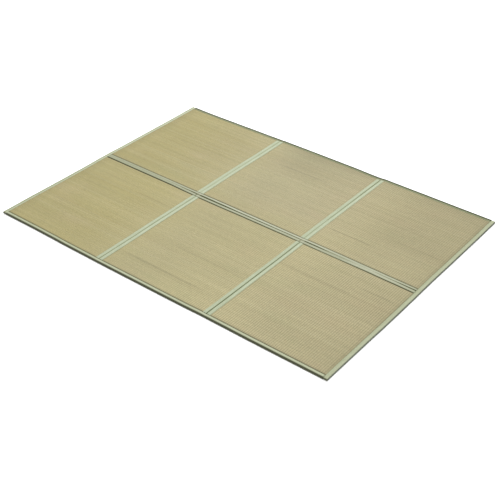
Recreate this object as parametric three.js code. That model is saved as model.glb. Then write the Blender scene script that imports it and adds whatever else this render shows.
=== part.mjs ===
// Folding tatami mat: six woven-rush panels, two rows of three, bound and joined with cloth tape.
// Millimetres, +Z up. Origin: middle of the mat on the surface that it lies on.
// +X runs along the long side, +Y across the mat from the front edge to the back edge.
import * as THREE from 'three';
import { mergeVertices } from 'three/addons/utils/BufferGeometryUtils.js';

// ---- driving dimensions --------------------------------------------------
const LENGTH = 2006.6;        // long side, 79 in
const WIDTH = 1498.6;         // short side, 59 in
const THICKNESS = 12.7;       // over the tapes, 0.5 in
const PANELS_LONG = 3;        // panels along the long side
const BAND = 21;              // width of a binding, and of each half of a seam tape
const CLOTH = 1.0;            // tape cloth, turned in and pressed
const GAP = 0.3;              // clearance between neighbouring pieces
const END_GAP = 0.8;          // and between a tape's cut end and the tape that it meets
const RUSH_TOP = 12.3;        // top of the rush, just under the tapes
const PINCH_TOP = 10.0;       // top of a panel where a tape clamps it
const PINCH_BOTTOM = 1.3;     // underside of a panel where a tape clamps it
const PINCH_RUN = 12;         // how far the rush takes to swell to full height
const SIDE_TOP = 6.4;         // a panel's side face is flat between these heights
const SIDE_BOTTOM = 6.0;
const SIDE_RUN = 6.3;         // and its upper and lower edges slope in over this width
const HINGE_HALF = 4.0;       // from a seam line to the side of each panel
const HOLD = 25;              // a line's own drift is carried unchanged this far on each side

const HALF_L = LENGTH / 2;
const HALF_W = WIDTH / 2;
const SEAM_1 = -HALF_L + LENGTH / PANELS_LONG;   // cross seams, at thirds of the length
const SEAM_2 = HALF_L - LENGTH / PANELS_LONG;

// ---- how far each line strays from straight ------------------------------
// at: place along the line; out: how far the line lies from its nominal place
const FRONT_EDGE = [
  { at: -1003.3, out: 6.6 }, { at: -780, out: 6.2 }, { at: -660, out: 4.8 }, { at: -540, out: 2.0 },
  { at: -420, out: 1.3 }, { at: -310, out: 0 }, { at: 200, out: 0 }, { at: 310, out: 1.9 },
  { at: 440, out: 1.3 }, { at: 600, out: 0.4 }, { at: 1003.3, out: 0.9 },
];
const BACK_EDGE = [
  { at: -1003.3, out: -7.4 }, { at: -850, out: -9.6 }, { at: -660, out: -7.4 }, { at: -480, out: -4.9 },
  { at: -360, out: -3.2 }, { at: -300, out: -0.9 }, { at: -170, out: 0 }, { at: 120, out: -0.3 },
  { at: 312, out: -4.3 }, { at: 357, out: 0 }, { at: 560, out: -0.3 }, { at: 840, out: -1.2 }, { at: 1003.3, out: -0.9 },
];
const LEFT_EDGE = [
  { at: -749.3, out: 1.9 }, { at: -700, out: 1.9 }, { at: -580, out: 1.0 }, { at: -340, out: 3.0 },
  { at: -160, out: 2.2 }, { at: -50, out: 0 }, { at: 45, out: 0 }, { at: 140, out: 2.4 },
  { at: 560, out: 3.6 }, { at: 700, out: 1.6 }, { at: 749.3, out: 1.6 },
];
const RIGHT_EDGE = [
  { at: -749.3, out: -3.2 }, { at: -700, out: -3.2 }, { at: -460, out: -1.9 }, { at: -300, out: 0 },
  { at: -100, out: 0 }, { at: 60, out: -1.6 }, { at: 150, out: -1.9 }, { at: 300, out: -0.9 },
  { at: 560, out: -0.5 }, { at: 700, out: -1.5 }, { at: 749.3, out: -1.5 },
];
// The cross seams of the front row and the back row don't line up quite.
const CROSS_1 = {
  front: [{ at: -749.3, out: 4.9 }, { at: -520, out: 5.1 }, { at: -340, out: 3.6 }, { at: 0, out: 3.2 }],
  back: [{ at: 0, out: -2.4 }, { at: 340, out: -4.0 }, { at: 560, out: -2.2 }, { at: 749.3, out: -3.1 }],
};
const CROSS_2 = {
  front: [{ at: -749.3, out: 2.7 }, { at: -560, out: 4.2 }, { at: -160, out: 4.8 }, { at: 0, out: 3.4 }],
  back: [{ at: 0, out: 0 }, { at: 150, out: -1.3 }, { at: 440, out: -0.6 }, { at: 749.3, out: 0.4 }],
};
// The centre seam. near, mid, far: drift of the tape's near edge, its fold line and its far edge
// from -BAND, 0 and +BAND; sink: how deep the fold line lies; open: its half width at the top.
const CENTRE = [
  { at: -1003.3, near: 9.2, mid: 5.2, far: 1.0, sink: 1.0, open: 1.0 },
  { at: -520, near: 7.8, mid: 5.0, far: 1.0, sink: 1.2, open: 1.0 },
  { at: -400, near: 4.6, mid: 4.5, far: 0.4, sink: 2.6, open: 1.4 },
  { at: -290, near: 2.0, mid: 2.6, far: 1.5, sink: 6.4, open: 2.4 },
  { at: -180, near: 1.6, mid: 2.0, far: 2.0, sink: 6.0, open: 2.3 },
  { at: -40, near: 3.4, mid: 2.0, far: 0.8, sink: 3.4, open: 1.7 },
  { at: 300, near: 3.4, mid: 2.2, far: -1.0, sink: 2.8, open: 1.5 },
  { at: 400, near: 1.5, mid: 2.4, far: 0.5, sink: 4.6, open: 2.0 },
  { at: 520, near: 1.3, mid: 1.2, far: 0, sink: 1.8, open: 1.3 },
  { at: 700, near: 1.4, mid: 0.6, far: -2.2, sink: 1.0, open: 1.0 },
  { at: 860, near: -0.6, mid: -0.8, far: -4.0, sink: 2.2, open: 1.3 },
  { at: 1003.3, near: -2.4, mid: -1.8, far: -5.4, sink: 4.0, open: 1.8 },
];
// The cross seams' fold lines, at the outer edge of the mat and at the centre seam.
const CROSS_FOLD = {
  cross_1_front: { outer: { sink: 2.4, open: 1.4 }, inner: { sink: 2.0, open: 1.3 } },
  cross_1_back: { outer: { sink: 1.8, open: 1.2 }, inner: { sink: 1.3, open: 1.1 } },
  cross_2_front: { outer: { sink: 3.4, open: 1.7 }, inner: { sink: 2.8, open: 1.5 } },
  cross_2_back: { outer: { sink: 3.0, open: 1.6 }, inner: { sink: 1.6, open: 1.2 } },
};

// ---- tape sections -------------------------------------------------------
// Edge binding folded round the padded edge, which gives it a full round nose. d: distance in from
// the mat's outer face.
const BINDING_OUTSIDE = [
  { d: BAND, z: 11.3 }, { d: 12, z: THICKNESS }, { d: 7.4, z: 12.5 }, { d: 3.4, z: 11.2 },
  { d: 1.0, z: 8.9 }, { d: 0, z: 6.4 }, { d: 0.3, z: 2.6 }, { d: 2.2, z: 0 }, { d: BAND, z: 0 },
];
const BINDING_INSIDE = [
  { d: BAND, z: CLOTH }, { d: 3.4, z: CLOTH }, { d: 1.5, z: 3.2 }, { d: CLOTH, z: 6.4 },
  { d: 1.9, z: 8.4 }, { d: 4.0, z: 10.4 }, { d: 7.6, z: 11.5 }, { d: 12, z: 11.7 }, { d: BAND, z: 10.3 },
];
// How a side binding draws in towards the mat's corner. e: distance from its end; low, high: limits of
// its outer height; inLow, inHigh: limits of the hollow in it; open: whether the hollow has begun;
// inset: plan rounding.
const CORNER = [
  { e: 0, low: 5.4, high: 7.2, inLow: 5.6, inHigh: 7.0, open: false, inset: 1.2 },
  { e: 1.1, low: 2.8, high: 9.2, inLow: 5.2, inHigh: 7.4, open: false, inset: 0 },
  { e: 1.1, low: 2.8, high: 9.2, inLow: 5.2, inHigh: 7.4, open: true, inset: 0 },
  { e: 2, low: 1.9, high: 10.1, inLow: 3.9, inHigh: 8.5, open: true, inset: 0 },
  { e: 4, low: 0.6, high: 11.5, inLow: 2.0, inHigh: 10.4, open: true, inset: 0 },
  { e: 6, low: 0, high: 12.2, inLow: CLOTH, inHigh: 11.1, open: true, inset: 0 },
  { e: 9, low: 0, high: 12.6, inLow: CLOTH, inHigh: 11.5, open: true, inset: 0 },
  { e: 14, low: 0, high: THICKNESS, inLow: CLOTH, inHigh: 11.7, open: true, inset: 0 },
];

// Top seam tape: two puffed halves and a fold line sunk between the panels. d: distance from the seam line.
function seamTop({ sink, open }) {
  const fall = sink - 0.6;
  const slant = Math.hypot(open, fall);
  const under = Math.min(3.0, (CLOTH * slant) / open);
  const aside = Math.min(3.4, open + (CLOTH * slant) / fall);
  const half = [
    { d: BAND, z: 11.3 }, { d: 12, z: THICKNESS }, { d: open + 2.2, z: 12.5 }, { d: open, z: 12.1 },
  ];
  const below = [
    { d: aside, z: 11.1 }, { d: aside + 1.8, z: 11.5 }, { d: 12, z: 11.7 }, { d: BAND, z: 10.3 },
  ];
  const mirror = (row) => ({ d: -row.d, z: row.z });
  return [
    ...half, { d: 0, z: THICKNESS - sink }, ...half.map(mirror).reverse(),
    ...below.map(mirror).reverse(), { d: 0, z: THICKNESS - sink - under }, ...below,
  ];
}

// Underside seam tape: flat on the surface, with a low crease.
const SEAM_UNDER = [
  { d: BAND, z: 0 }, { d: 1.6, z: 0 }, { d: 0, z: 1.1 }, { d: -1.6, z: 0 }, { d: -BAND, z: 0 },
  { d: -BAND, z: CLOTH }, { d: -2.3, z: CLOTH }, { d: 0, z: 2.3 }, { d: 2.3, z: CLOTH }, { d: BAND, z: CLOTH },
];

// ---- drift of the lines over the mat -------------------------------------
// A table's column at a place, eased between rows.
function column(table, name, at) {
  if (at <= table[0].at) return table[0][name];
  for (let i = 1; i < table.length; i++) {
    if (at <= table[i].at) {
      const t = (at - table[i - 1].at) / (table[i].at - table[i - 1].at);
      const ease = (1 - Math.cos(Math.PI * t)) / 2;
      return table[i - 1][name] + (table[i][name] - table[i - 1][name]) * ease;
    }
  }
  return table[table.length - 1][name];
}

// Straight-line blend of [place, value] knots.
function between(knots, at) {
  for (let i = 1; i < knots.length; i++) {
    if (at <= knots[i][0] || i === knots.length - 1) {
      const t = (at - knots[i - 1][0]) / (knots[i][0] - knots[i - 1][0]);
      return knots[i - 1][1] + (knots[i][1] - knots[i - 1][1]) * t;
    }
  }
  return knots[0][1];
}

function crossDrift(cross, y) {
  const rows = { front: column(cross.front, 'out', Math.min(y, 0)), back: column(cross.back, 'out', Math.max(y, 0)) };
  if (Math.abs(y) <= BAND) return (rows.front + rows.back) / 2;
  return y < 0 ? rows.front : rows.back;
}

// Nominal place on the mat to real place. row settles which row's cross seams a point follows.
function place(x, y, z, row) {
  const side = row === 'front' ? Math.min(y, -BAND - 0.1) : row === 'back' ? Math.max(y, BAND + 0.1) : y;
  const left = column(LEFT_EDGE, 'out', y);
  const right = column(RIGHT_EDGE, 'out', y);
  const one = crossDrift(CROSS_1, side);
  const two = crossDrift(CROSS_2, side);
  const dx = between([
    [-HALF_L, left], [-HALF_L + HOLD, left], [SEAM_1 - HOLD, one], [SEAM_1 + HOLD, one],
    [SEAM_2 - HOLD, two], [SEAM_2 + HOLD, two], [HALF_L - HOLD, right], [HALF_L, right],
  ], x);
  const front = column(FRONT_EDGE, 'out', x);
  const back = column(BACK_EDGE, 'out', x);
  const near = column(CENTRE, 'near', x);
  const mid = column(CENTRE, 'mid', x);
  const far = column(CENTRE, 'far', x);
  const dy = between([
    [-HALF_W, front], [-HALF_W + HOLD, front], [-HOLD, near], [-BAND, near], [0, mid],
    [BAND, far], [HOLD, far], [HALF_W - HOLD, back], [HALF_W, back],
  ], y);
  return [x + dx, y + dy, z];
}

// ---- stations ------------------------------------------------------------
// Stations between two lines of a panel: its pinched edges and a few across its middle.
function spans(from, fromSide, to, toSide, inner) {
  const a = from + BAND + GAP, b = to - BAND - GAP;
  const list = [from + fromSide, from + fromSide + SIDE_RUN, a, a + PINCH_RUN];
  for (let i = 1; i <= inner; i++) {
    list.push(a + PINCH_RUN + ((b - a - 2 * PINCH_RUN) * i) / (inner + 1));
  }
  list.push(b - PINCH_RUN, b, to - toSide - SIDE_RUN, to - toSide);
  return list;
}
const RIM = CLOTH + 2 * GAP;   // from the mat's outer face to a panel's side
const X_STATIONS = [
  spans(-HALF_L, RIM, SEAM_1, HINGE_HALF, 3),
  spans(SEAM_1, HINGE_HALF, SEAM_2, HINGE_HALF, 3),
  spans(SEAM_2, HINGE_HALF, HALF_L, RIM, 3),
];
const Y_STATIONS = {
  front: spans(-HALF_W, RIM, 0, HINGE_HALF, 2),
  back: spans(0, HINGE_HALF, HALF_W, RIM, 2),
};
const within = (list, low, high) => [low, ...list.filter((v) => v > low + 0.5 && v < high - 0.5), high];
// A tape follows every station of the panels beside it but two at each pinched edge, and has two
// more where a cross-seam tape meets it.
const sparse = (list) => list.filter((v, i) => ![1, 2, list.length - 3, list.length - 2].includes(i));
const AT_SEAMS = [SEAM_1, SEAM_2].flatMap((seam) => [seam - 12, seam + 12]);
const ALL_X = [...X_STATIONS.flatMap(sparse), ...AT_SEAMS].sort((a, b) => a - b);
const ALL_Y = [Y_STATIONS.front, Y_STATIONS.back].flatMap(sparse);

// ---- mesh making ---------------------------------------------------------
// A closed mesh from points and triangles: coincident points joined, empty triangles dropped, faces out.
function solid(points, triangles) {
  const raw = new THREE.BufferGeometry();
  raw.setAttribute('position', new THREE.Float32BufferAttribute(points.flat(), 3));
  raw.setIndex(triangles.flat());
  const geometry = mergeVertices(raw, 1e-3);
  const index = geometry.getIndex().array;
  const p = geometry.getAttribute('position');
  const kept = [];
  let volume = 0;
  const [a, b, c] = [new THREE.Vector3(), new THREE.Vector3(), new THREE.Vector3()];
  for (let i = 0; i < index.length; i += 3) {
    const [j, k, l] = [index[i], index[i + 1], index[i + 2]];
    if (j === k || k === l || l === j) continue;
    kept.push(j, k, l);
    a.fromBufferAttribute(p, j); b.fromBufferAttribute(p, k); c.fromBufferAttribute(p, l);
    volume += a.dot(b.cross(c)) / 6;
  }
  if (volume < 0) for (let i = 0; i < kept.length; i += 3) [kept[i], kept[i + 1]] = [kept[i + 1], kept[i]];
  geometry.setIndex(kept);
  const flat = geometry.toNonIndexed();
  flat.computeVertexNormals();
  return flat;
}

// A strip of cloth: one section carried along stations. sections: lists of {x, y, z, row} of equal
// length, the first half running across one face of the cloth and the second half back across the other.
function strip(sections) {
  const n = sections[0].length;
  const points = sections.flat().map((q) => place(q.x, q.y, q.z, q.row));
  const triangles = [];
  for (let s = 0; s + 1 < sections.length; s++) {
    for (let i = 0; i < n; i++) {
      const a = s * n + i, b = s * n + ((i + 1) % n), c = a + n, d = b + n;
      triangles.push([a, b, d], [a, d, c]);
    }
  }
  const last = (sections.length - 1) * n;
  for (let i = 0; i + 1 < n / 2; i++) {
    const [a, b, c, d] = [i, i + 1, n - 2 - i, n - 1 - i];
    triangles.push([a, c, b], [a, d, c], [last + a, last + b, last + c], [last + a, last + c, last + d]);
  }
  return solid(points, triangles);
}

// ---- pieces --------------------------------------------------------------
// Height of a panel's top or underside at a distance from a seam line or outer face.
function panelHeights(distance, side) {
  const knots = [
    [side, SIDE_TOP, SIDE_BOTTOM], [side + SIDE_RUN, PINCH_TOP, PINCH_BOTTOM],
    [BAND + GAP, PINCH_TOP, PINCH_BOTTOM], [BAND + GAP + PINCH_RUN, RUSH_TOP - 0.2, 0],
    [BAND + 160, RUSH_TOP, 0],
  ];
  const at = Math.min(distance, BAND + 160);
  return {
    top: between(knots.map(([d, top]) => [d, top]), at),
    bottom: between(knots.map(([d, , bottom]) => [d, bottom]), at),
  };
}

function panel(column3, row) {
  const lines = [-HALF_L, SEAM_1, SEAM_2, HALF_L];
  const xs = X_STATIONS[column3];
  const ys = Y_STATIONS[row];
  const [x0, x1] = [lines[column3], lines[column3 + 1]];
  const [y0, y1] = row === 'front' ? [-HALF_W, 0] : [0, HALF_W];
  const sideOf = (line, outer) => (Math.abs(line) === outer ? RIM : HINGE_HALF);
  const points = [];
  const heights = (x, y) => {
    const each = [
      panelHeights(x - x0, sideOf(x0, HALF_L)), panelHeights(x1 - x, sideOf(x1, HALF_L)),
      panelHeights(y - y0, sideOf(y0, HALF_W)), panelHeights(y1 - y, sideOf(y1, HALF_W)),
    ];
    return { top: Math.min(...each.map((h) => h.top)), bottom: Math.max(...each.map((h) => h.bottom)) };
  };
  for (const face of ['top', 'bottom']) {
    for (const y of ys) for (const x of xs) points.push(place(x, y, heights(x, y)[face], row));
  }
  const [nx, ny] = [xs.length, ys.length];
  const top = (i, j) => j * nx + i;
  const bottom = (i, j) => nx * ny + j * nx + i;
  const triangles = [];
  for (let j = 0; j + 1 < ny; j++) {
    for (let i = 0; i + 1 < nx; i++) {
      triangles.push([top(i, j), top(i + 1, j), top(i + 1, j + 1)], [top(i, j), top(i + 1, j + 1), top(i, j + 1)]);
      triangles.push([bottom(i, j), bottom(i + 1, j + 1), bottom(i + 1, j)], [bottom(i, j), bottom(i, j + 1), bottom(i + 1, j + 1)]);
    }
  }
  const rim = [];
  for (let i = 0; i + 1 < nx; i++) rim.push([i, 0]);
  for (let j = 0; j + 1 < ny; j++) rim.push([nx - 1, j]);
  for (let i = nx - 1; i > 0; i--) rim.push([i, ny - 1]);
  for (let j = ny - 1; j > 0; j--) rim.push([0, j]);
  rim.forEach(([i, j], s) => {
    const [k, l] = rim[(s + 1) % rim.length];
    triangles.push([bottom(i, j), bottom(k, l), top(k, l)], [bottom(i, j), top(k, l), top(i, j)]);
  });
  return solid(points, triangles);
}

// Front or back binding, between the side bindings.
function longBinding(sign) {
  const stations = within(ALL_X, -HALF_L + BAND + END_GAP, HALF_L - BAND - END_GAP);
  const row = sign < 0 ? 'front' : 'back';
  const sections = stations.map((x) => [...BINDING_OUTSIDE, ...BINDING_INSIDE].map(({ d, z }) => ({ x, y: sign * (HALF_W - d), z, row })));
  return strip(sections);
}

// Left or right binding, with its ends turned in to close the corners.
function shortBinding(sign) {
  const clamp = (z, low, high) => Math.min(Math.max(z, low), high);
  const section = (y, { low, high, inLow, inHigh, open, inset }) => [
    ...BINDING_OUTSIDE.map(({ d, z }) => ({ d: Math.max(d, inset), z: clamp(z, low, high) })),
    ...BINDING_INSIDE.map(({ d, z }) => ({ d: open ? d : BAND, z: clamp(z, inLow, inHigh) })),
  ].map(({ d, z }) => ({ x: sign * (HALF_L - d), y, z }));
  const last = CORNER[CORNER.length - 1];
  const middle = within(ALL_Y, -HALF_W + last.e, HALF_W - last.e).slice(1, -1);
  return strip([
    ...CORNER.map((row) => section(-HALF_W + row.e, row)),
    ...middle.map((y) => section(y, last)),
    ...[...CORNER].reverse().map((row) => section(HALF_W - row.e, row)),
  ]);
}

// Centre-seam tape along the whole mat.
function centreTape(under) {
  const stations = within(ALL_X, -HALF_L + BAND + END_GAP, HALF_L - BAND - END_GAP);
  const sections = stations.map((x) => {
    const fold = { sink: column(CENTRE, 'sink', x), open: column(CENTRE, 'open', x) };
    return (under ? SEAM_UNDER : seamTop(fold)).map(({ d, z }) => ({ x, y: d, z }));
  });
  return strip(sections);
}

// One length of cross-seam tape, from the edge binding to the centre tape.
function crossTape(seam, row, under, fold) {
  const sign = row === 'front' ? -1 : 1;
  const ends = [sign * (HALF_W - BAND - END_GAP), sign * (BAND + END_GAP)].sort((a, b) => a - b);
  const stations = within(Y_STATIONS[row], ...ends);
  const sections = stations.map((y) => {
    const t = (Math.abs(y) - BAND) / (HALF_W - 2 * BAND);
    const at = { sink: fold.inner.sink + (fold.outer.sink - fold.inner.sink) * t, open: fold.inner.open + (fold.outer.open - fold.inner.open) * t };
    return (under ? SEAM_UNDER : seamTop(at)).map(({ d, z }) => ({ x: seam + d, y, z, row }));
  });
  return strip(sections);
}

// ---- the mat -------------------------------------------------------------
const RUSH = { color: 0xbbb290, roughness: 0.85, metalness: 0 };
const TAPE = { color: 0xbdcab0, roughness: 0.8, metalness: 0 };

const mat = new THREE.Group();
function add(name, geometry, look) {
  const mesh = new THREE.Mesh(geometry, new THREE.MeshStandardMaterial(look));
  mesh.name = name;
  mat.add(mesh);
}

for (const row of ['front', 'back']) {
  ['left', 'middle', 'right'].forEach((name, i) => add(`rush_panel_${row}_${name}`, panel(i, row), RUSH));
}
add('binding_front', longBinding(-1), TAPE);
add('binding_back', longBinding(1), TAPE);
add('binding_left', shortBinding(-1), TAPE);
add('binding_right', shortBinding(1), TAPE);
add('centre_tape_top', centreTape(false), TAPE);
add('centre_tape_under', centreTape(true), TAPE);
for (const [n, seam] of [[1, SEAM_1], [2, SEAM_2]]) {
  for (const row of ['front', 'back']) {
    const fold = CROSS_FOLD[`cross_${n}_${row}`];
    add(`cross_tape_${n}_${row}_top`, crossTape(seam, row, false, fold), TAPE);
    add(`cross_tape_${n}_${row}_under`, crossTape(seam, row, true, fold), TAPE);
  }
}

export default mat;
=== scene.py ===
# Folding tatami mat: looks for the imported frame. Lengths in the tables are millimetres, meshes are metres.
import math

import bpy
import numpy as np
from mathutils import Matrix, Vector


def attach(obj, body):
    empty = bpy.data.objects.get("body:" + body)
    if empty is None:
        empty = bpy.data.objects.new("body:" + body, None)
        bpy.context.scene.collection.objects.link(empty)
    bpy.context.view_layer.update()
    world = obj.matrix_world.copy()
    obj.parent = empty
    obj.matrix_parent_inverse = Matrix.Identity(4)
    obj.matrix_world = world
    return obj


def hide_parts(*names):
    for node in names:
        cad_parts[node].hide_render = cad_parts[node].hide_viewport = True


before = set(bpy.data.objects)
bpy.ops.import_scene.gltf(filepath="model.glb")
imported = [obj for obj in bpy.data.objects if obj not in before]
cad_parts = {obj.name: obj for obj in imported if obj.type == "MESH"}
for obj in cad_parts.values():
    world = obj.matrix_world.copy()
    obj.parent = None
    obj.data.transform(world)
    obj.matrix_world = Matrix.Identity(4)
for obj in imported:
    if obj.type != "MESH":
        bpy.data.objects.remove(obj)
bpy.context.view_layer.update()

# ---- camera ---------------------------------------------------------------
AZIMUTH, ELEVATION, ROLL = math.radians(37.80), math.radians(35.31), math.radians(0.51)
back = Vector((math.sin(AZIMUTH) * math.cos(ELEVATION), -math.cos(AZIMUTH) * math.cos(ELEVATION), math.sin(ELEVATION)))
right0 = (-back).cross(Vector((0, 0, 1))).normalized()
up0 = right0.cross(-back)
right = right0 * math.cos(ROLL) + up0 * math.sin(ROLL)
up = right.cross(-back)
camera_data = bpy.data.cameras.new("camera")
camera_data.sensor_width = 36
camera_data.lens = 36 * 1007.6 / 500
camera_data.clip_start, camera_data.clip_end = 0.1, 100
camera = bpy.data.objects.new("camera", camera_data)
bpy.context.scene.collection.objects.link(camera)
rotation = Matrix((right, up, back)).transposed().to_4x4()
camera.matrix_world = Matrix.Translation((2.620, -3.358, 2.822)) @ rotation
bpy.context.scene.camera = camera

# ---- the mat's lines ------------------------------------------------------
LENGTH, WIDTH, THICKNESS = 2006.6, 1498.6, 12.7
BAND, CLOTH, GAP, END_GAP = 21.0, 1.0, 0.3, 0.8
RUSH_TOP, PINCH_TOP, PINCH_BOTTOM, PINCH_RUN = 12.3, 10.0, 1.3, 12.0
SIDE_TOP, SIDE_BOTTOM, SIDE_RUN = 6.4, 6.0, 6.3
HINGE_HALF, HOLD = 4.0, 25.0
RIM = CLOTH + 2 * GAP
HALF_L, HALF_W = LENGTH / 2, WIDTH / 2
SEAM_1, SEAM_2 = -HALF_L + LENGTH / 3, HALF_L - LENGTH / 3

FRONT_EDGE = [(-1003.3, 6.6), (-780, 6.2), (-660, 4.8), (-540, 2.0), (-420, 1.3), (-310, 0), (200, 0), (310, 1.9),
              (440, 1.3), (600, 0.4), (1003.3, 0.9)]
BACK_EDGE = [(-1003.3, -7.4), (-850, -9.6), (-660, -7.4), (-480, -4.9), (-360, -3.2), (-300, -0.9), (-170, 0),
             (120, -0.3), (312, -4.3), (357, 0), (560, -0.3), (840, -1.2), (1003.3, -0.9)]
LEFT_EDGE = [(-749.3, 1.9), (-700, 1.9), (-580, 1.0), (-340, 3.0), (-160, 2.2), (-50, 0), (45, 0), (140, 2.4),
             (560, 3.6), (700, 1.6), (749.3, 1.6)]
RIGHT_EDGE = [(-749.3, -3.2), (-700, -3.2), (-460, -1.9), (-300, 0), (-100, 0), (60, -1.6), (150, -1.9),
              (300, -0.9), (560, -0.5), (700, -1.5), (749.3, -1.5)]
CROSS = {
    (1, "front"): [(-749.3, 4.9), (-520, 5.1), (-340, 3.6), (0, 3.2)],
    (1, "back"): [(0, -2.4), (340, -4.0), (560, -2.2), (749.3, -3.1)],
    (2, "front"): [(-749.3, 2.7), (-560, 4.2), (-160, 4.8), (0, 3.4)],
    (2, "back"): [(0, 0), (150, -1.3), (440, -0.6), (749.3, 0.4)],
}
# place along the seam, near, mid, far, sink, open
CENTRE = [
    (-1003.3, 9.2, 5.2, 1.0, 1.0, 1.0), (-520, 7.8, 5.0, 1.0, 1.2, 1.0), (-400, 4.6, 4.5, 0.4, 2.6, 1.4),
    (-290, 2.0, 2.6, 1.5, 6.4, 2.4), (-180, 1.6, 2.0, 2.0, 6.0, 2.3), (-40, 3.4, 2.0, 0.8, 3.4, 1.7),
    (300, 3.4, 2.2, -1.0, 2.8, 1.5), (400, 1.5, 2.4, 0.5, 4.6, 2.0), (520, 1.3, 1.2, 0, 1.8, 1.3),
    (700, 1.4, 0.6, -2.2, 1.0, 1.0), (860, -0.6, -0.8, -4.0, 2.2, 1.3), (1003.3, -2.4, -1.8, -5.4, 4.0, 1.8),
]
# (sink, open) at the mat's edge and at the centre seam
CROSS_FOLD = {
    (1, "front"): ((2.4, 1.4), (2.0, 1.3)), (1, "back"): ((1.8, 1.2), (1.3, 1.1)),
    (2, "front"): ((3.4, 1.7), (2.8, 1.5)), (2, "back"): ((3.0, 1.6), (1.6, 1.2)),
}


def column(table, at, which=1):
    """A table's column at each place, eased between rows."""
    at = np.clip(np.asarray(at, float), table[0][0], table[-1][0])
    places = np.array([row[0] for row in table], float)
    values = np.array([row[which] for row in table], float)
    i = np.clip(np.searchsorted(places, at, side="left") - 1, 0, len(places) - 2)
    t = (at - places[i]) / (places[i + 1] - places[i])
    ease = (1 - np.cos(np.pi * t)) / 2
    return values[i] + (values[i + 1] - values[i]) * ease


def blend(at, knots):
    """Straight-line blend of knots (place, value), where a value is an array as long as at."""
    at = np.asarray(at, float)
    out = knots[-1][1] * np.ones_like(at)
    done = np.zeros(at.shape, bool)
    for (p0, v0), (p1, v1) in zip(knots, knots[1:]):
        last = p1 == knots[-1][0]
        here = ~done & ((at <= p1) | last)
        t = (at - p0) / (p1 - p0)
        value = v0 + (v1 - v0) * t
        out = np.where(here, value, out)
        done |= here
    return out


def cross_drift(which, y, side):
    front = column(CROSS[(which, "front")], np.minimum(side, 0))
    rear = column(CROSS[(which, "back")], np.maximum(side, 0))
    both = np.abs(side) <= BAND
    return np.where(both, (front + rear) / 2, np.where(side < 0, front, rear))


def place(x, y, z, row=None):
    """Nominal place on the mat to real place, in millimetres."""
    x, y, z = (np.asarray(v, float) for v in (x, y, z))
    side = np.minimum(y, -BAND - 0.1) if row == "front" else np.maximum(y, BAND + 0.1) if row == "back" else y
    left, rght = column(LEFT_EDGE, y), column(RIGHT_EDGE, y)
    one, two = cross_drift(1, y, side), cross_drift(2, y, side)
    dx = blend(x, [(-HALF_L, left), (-HALF_L + HOLD, left), (SEAM_1 - HOLD, one), (SEAM_1 + HOLD, one),
                   (SEAM_2 - HOLD, two), (SEAM_2 + HOLD, two), (HALF_L - HOLD, rght), (HALF_L, rght)])
    front, rear = column(FRONT_EDGE, x), column(BACK_EDGE, x)
    near, mid, far = (column(CENTRE, x, k) for k in (1, 2, 3))
    dy = blend(y, [(-HALF_W, front), (-HALF_W + HOLD, front), (-HOLD, near), (-BAND, near), (0, mid),
                   (BAND, far), (HOLD, far), (HALF_W - HOLD, rear), (HALF_W, rear)])
    return np.stack([x + dx, y + dy, z + 0 * x], -1)


# ---- small noises ---------------------------------------------------------
def wander(at, seed, pitch):
    """Smooth seeded noise from -1 to 1 along a line."""
    table = np.random.default_rng(seed).uniform(-1, 1, 4096)
    u = np.asarray(at, float) / pitch + 512.37
    i = np.floor(u).astype(int)
    t = u - i
    t = t * t * (3 - 2 * t)
    return table[i % 4096] * (1 - t) + table[(i + 1) % 4096] * t


def spread(x, y, seed, px, py):
    """Smooth seeded noise from -1 to 1 over a plane."""
    table = np.random.default_rng(seed).uniform(-1, 1, (256, 256))
    u, v = np.asarray(x, float) / px + 40.21, np.asarray(y, float) / py + 70.63
    i, j = np.floor(u).astype(int), np.floor(v).astype(int)
    s, t = u - i, v - j
    s, t = s * s * (3 - 2 * s), t * t * (3 - 2 * t)
    i, j, k, l = i % 256, j % 256, (i + 1) % 256, (j + 1) % 256
    return (table[i, j] * (1 - s) + table[k, j] * s) * (1 - t) + (table[i, l] * (1 - s) + table[k, l] * s) * t


def smooth(t):
    t = np.clip(t, 0, 1)
    return t * t * (3 - 2 * t)


# ---- mesh making ----------------------------------------------------------
def mesh_object(name, points, faces, material, attributes=None):
    """points in millimetres"""
    mesh = bpy.data.meshes.new(name)
    points = np.asarray(points, float) * 0.001
    faces = np.asarray(faces)
    mesh.vertices.add(len(points))
    mesh.vertices.foreach_set("co", points.astype(np.float32).ravel())
    mesh.loops.add(faces.size)
    mesh.loops.foreach_set("vertex_index", faces.astype(np.int32).ravel())
    mesh.polygons.add(len(faces))
    mesh.polygons.foreach_set("loop_start", np.arange(0, faces.size, faces.shape[1], dtype=np.int32))
    mesh.update(calc_edges=True)
    mesh.validate()
    mesh.polygons.foreach_set("use_smooth", np.full(len(mesh.polygons), True))
    for key, values in (attributes or {}).items():
        attribute = mesh.attributes.new(key, "FLOAT", "POINT")
        attribute.data.foreach_set("value", np.asarray(values, np.float32))
    obj = bpy.data.objects.new(name, mesh)
    bpy.context.scene.collection.objects.link(obj)
    obj.data.materials.append(material)
    return obj


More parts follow.
